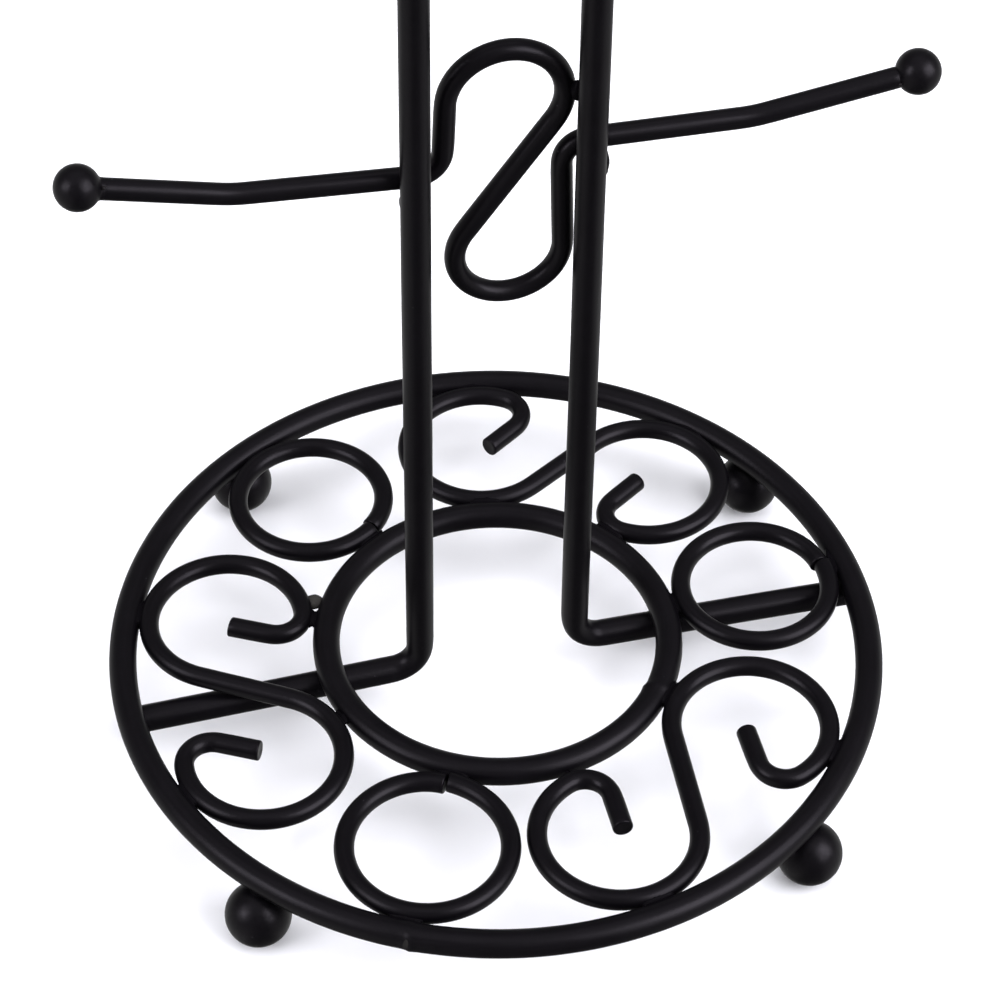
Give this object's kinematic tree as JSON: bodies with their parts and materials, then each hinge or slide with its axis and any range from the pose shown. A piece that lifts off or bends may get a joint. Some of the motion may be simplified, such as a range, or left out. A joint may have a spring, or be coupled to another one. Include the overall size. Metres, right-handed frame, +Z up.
{
  "type": "mug tree",
  "caption": "Black wire mug tree: a round base of rings and S-scrolls on ball feet, a hairpin upright, and S-shaped hooks whose arms end in balls.",
  "frame": {"origin": "on the table, below the centre of the outer base ring", "axes": "+Z up, +X along the arms to the right as seen from the front, +Y to the back, the side of the uprights that the hooks are welded to"},
  "size_m": [0.1844, 0.1786, 0.3841],
  "materials": {
    "black_powder_coat": "satin powder coat"
  },
  "bodies": {
    "root": {"outer_ring_wire": "black_powder_coat", "inner_ring_wire": "black_powder_coat", "front_ring": "black_powder_coat", "right_ring": "black_powder_coat", "left_ring": "black_powder_coat", "foot_front_left": "black_powder_coat", "foot_front_right": "black_powder_coat", "foot_back_right": "black_powder_coat", "foot_back_left": "black_powder_coat", "right_scroll": "black_powder_coat", "left_scroll": "black_powder_coat", "back_scroll": "black_powder_coat", "upright_frame": "black_powder_coat", "lower_hook": "black_powder_coat", "lower_left_ball": "black_powder_coat", "lower_right_ball": "black_powder_coat", "middle_hook": "black_powder_coat", "middle_left_ball": "black_powder_coat", "middle_right_ball": "black_powder_coat", "upper_hook": "black_powder_coat", "upper_left_ball": "black_powder_coat", "upper_right_ball": "black_powder_coat"}
  },
  "joints": []
}
